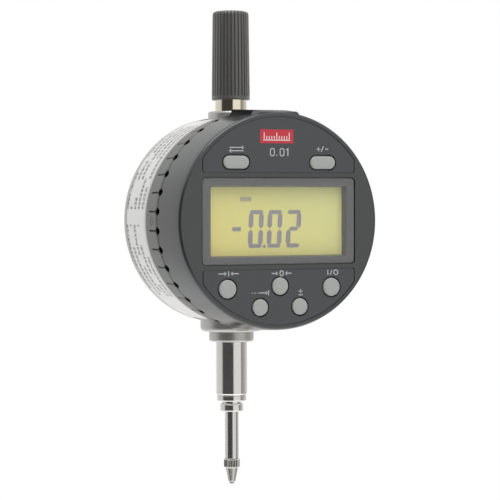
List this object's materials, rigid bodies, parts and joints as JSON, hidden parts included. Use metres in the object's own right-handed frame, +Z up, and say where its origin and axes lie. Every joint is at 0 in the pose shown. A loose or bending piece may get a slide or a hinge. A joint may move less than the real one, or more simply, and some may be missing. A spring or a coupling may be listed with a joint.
{
  "type": "dial indicator",
  "caption": "Electronic dial indicator with a turning round display head, face keys, knurled dust cap, ground stem, sprung spindle with a contact point and a lug back.",
  "frame": {"origin": "on the stem's axis, at the middle of the stem's clamping length", "axes": "+Z up along the stem and spindle towards the cap, -Y is the way the display faces at rest, +X to the reader's right"},
  "size_m": [0.0648, 0.0591, 0.1444],
  "materials": {
    "casting": "light grey fine blasted casting, clear lacquered",
    "label_film": "satin white printed film",
    "seal_rubber": "black nitrile",
    "screw_steel": "zinc plated and spring steel",
    "hard_chrome": "ground and polished hardened steel",
    "bronze": "sintered bronze",
    "nickel": "bright nickel plate",
    "cap_plastic": "satin moulded plastic, fluted",
    "circuit_board": "green solder mask",
    "flex_film": "polyimide film",
    "carbide": "polished tungsten carbide",
    "carrier_alloy": "machined aluminium",
    "scale_glass": "graduated glass",
    "head_plastic": "dark grey moulded plastic, fine satin texture",
    "ring_plastic": "dark grey moulded plastic, fine satin texture",
    "panel_film": "printed polyester overlay",
    "window_clear": "clear hard coated acrylic",
    "frame_plastic": "grey moulded plastic",
    "liquid_crystal": "yellow green reflective liquid crystal glass",
    "crystal_ink": "dark liquid crystal segments",
    "light_guide": "white light guide",
    "silicone": "translucent grey silicone",
    "gold_contact": "gold plated spring contact",
    "cell_steel": "nickel plated can",
    "port_plastic": "black gloss moulded plastic",
    "key_plastic": "light grey satin moulded plastic"
  },
  "bodies": {
    "case": {"rear_housing": "casting", "label_band": "label_film", "back_cover": "casting", "back_gasket": "seal_rubber", "back_screws": "screw_steel", "stem": "hard_chrome", "lower_bush": "bronze", "stem_seal": "seal_rubber", "seal_nut": "hard_chrome", "upper_bush": "bronze", "upper_sleeve": "nickel", "top_cap": "cap_plastic", "cap_o_ring": "seal_rubber", "return_spring": "screw_steel", "sensor_board": "circuit_board", "sensor_screws": "screw_steel", "guide_rail": "screw_steel", "swivel_seal": "seal_rubber", "stop_pin": "screw_steel", "sensor_flex": "flex_film"},
    "plunger": {"spindle": "hard_chrome", "contact_point": "hard_chrome", "contact_ball": "carbide", "scale_carrier": "carrier_alloy", "encoder_scale": "scale_glass", "carrier_screw": "screw_steel", "guide_pin": "screw_steel", "stop_collar": "carrier_alloy", "spring_seat": "screw_steel"},
    "head": {"display_housing": "head_plastic", "grip_ring": "ring_plastic", "swivel_hub": "carrier_alloy", "swivel_clip": "screw_steel", "head_screws": "screw_steel", "upper_panel": "panel_film", "lower_panel": "panel_film", "display_window": "window_clear", "window_gasket": "seal_rubber", "lcd_frame": "frame_plastic", "lcd_glass": "liquid_crystal", "lcd_digits": "crystal_ink", "backlight": "light_guide", "zebra_strips": "silicone", "display_board": "circuit_board", "board_screws": "screw_steel", "key_mat": "silicone", "display_flex": "flex_film", "battery_contacts": "gold_contact", "port_contacts": "gold_contact"},
    "drawer": {"battery_drawer": "head_plastic", "coin_cell": "cell_steel"},
    "port_plug": {"port_cover": "port_plastic"},
    "press_units": {"key_units": "key_plastic"},
    "press_sign": {"key_sign": "key_plastic"},
    "press_mode": {"key_mode": "key_plastic"},
    "press_zero": {"key_zero": "key_plastic"},
    "press_power": {"key_power": "key_plastic"},
    "press_preset": {"key_preset": "key_plastic"},
    "press_limits": {"key_limits": "key_plastic"}
  },
  "joints": [
    {"name": "spindle_slide", "type": "slide", "parent": "case", "child": "plunger", "axis": [0, 0, 1], "range_m": [0, 0.013], "stiffness_N_per_m": 40, "springref_m": -0.0225, "deforming": ["return_spring"]},
    {"name": "head_turn", "type": "hinge", "parent": "case", "child": "head", "pos_m": [0, 0, 0.0451], "axis": [0, -1, 0], "range_deg": [-135, 135]},
    {"name": "drawer_slide", "type": "slide", "parent": "head", "child": "drawer", "axis": [1, 0, 0], "range_m": [0, 0.018]},
    {"name": "port_cover_lift", "type": "slide", "parent": "head", "child": "port_plug", "axis": [0, 0, 1], "range_m": [0, 0.006]},
    {"name": "press_units", "type": "slide", "parent": "head", "child": "press_units", "axis": [0, 1, 0], "range_m": [0, 0.0007], "stiffness_N_per_m": 600, "springref_m": -0.001},
    {"name": "press_sign", "type": "slide", "parent": "head", "child": "press_sign", "axis": [0, 1, 0], "range_m": [0, 0.0007], "stiffness_N_per_m": 600, "springref_m": -0.001},
    {"name": "press_mode", "type": "slide", "parent": "head", "child": "press_mode", "axis": [0, 1, 0], "range_m": [0, 0.0007], "stiffness_N_per_m": 600, "springref_m": -0.001},
    {"name": "press_zero", "type": "slide", "parent": "head", "child": "press_zero", "axis": [0, 1, 0], "range_m": [0, 0.0007], "stiffness_N_per_m": 600, "springref_m": -0.001},
    {"name": "press_power", "type": "slide", "parent": "head", "child": "press_power", "axis": [0, 1, 0], "range_m": [0, 0.0007], "stiffness_N_per_m": 600, "springref_m": -0.001},
    {"name": "press_preset", "type": "slide", "parent": "head", "child": "press_preset", "axis": [0, 1, 0], "range_m": [0, 0.0007], "stiffness_N_per_m": 600, "springref_m": -0.001},
    {"name": "press_limits", "type": "slide", "parent": "head", "child": "press_limits", "axis": [0, 1, 0], "range_m": [0, 0.0007], "stiffness_N_per_m": 600, "springref_m": -0.001}
  ]
}
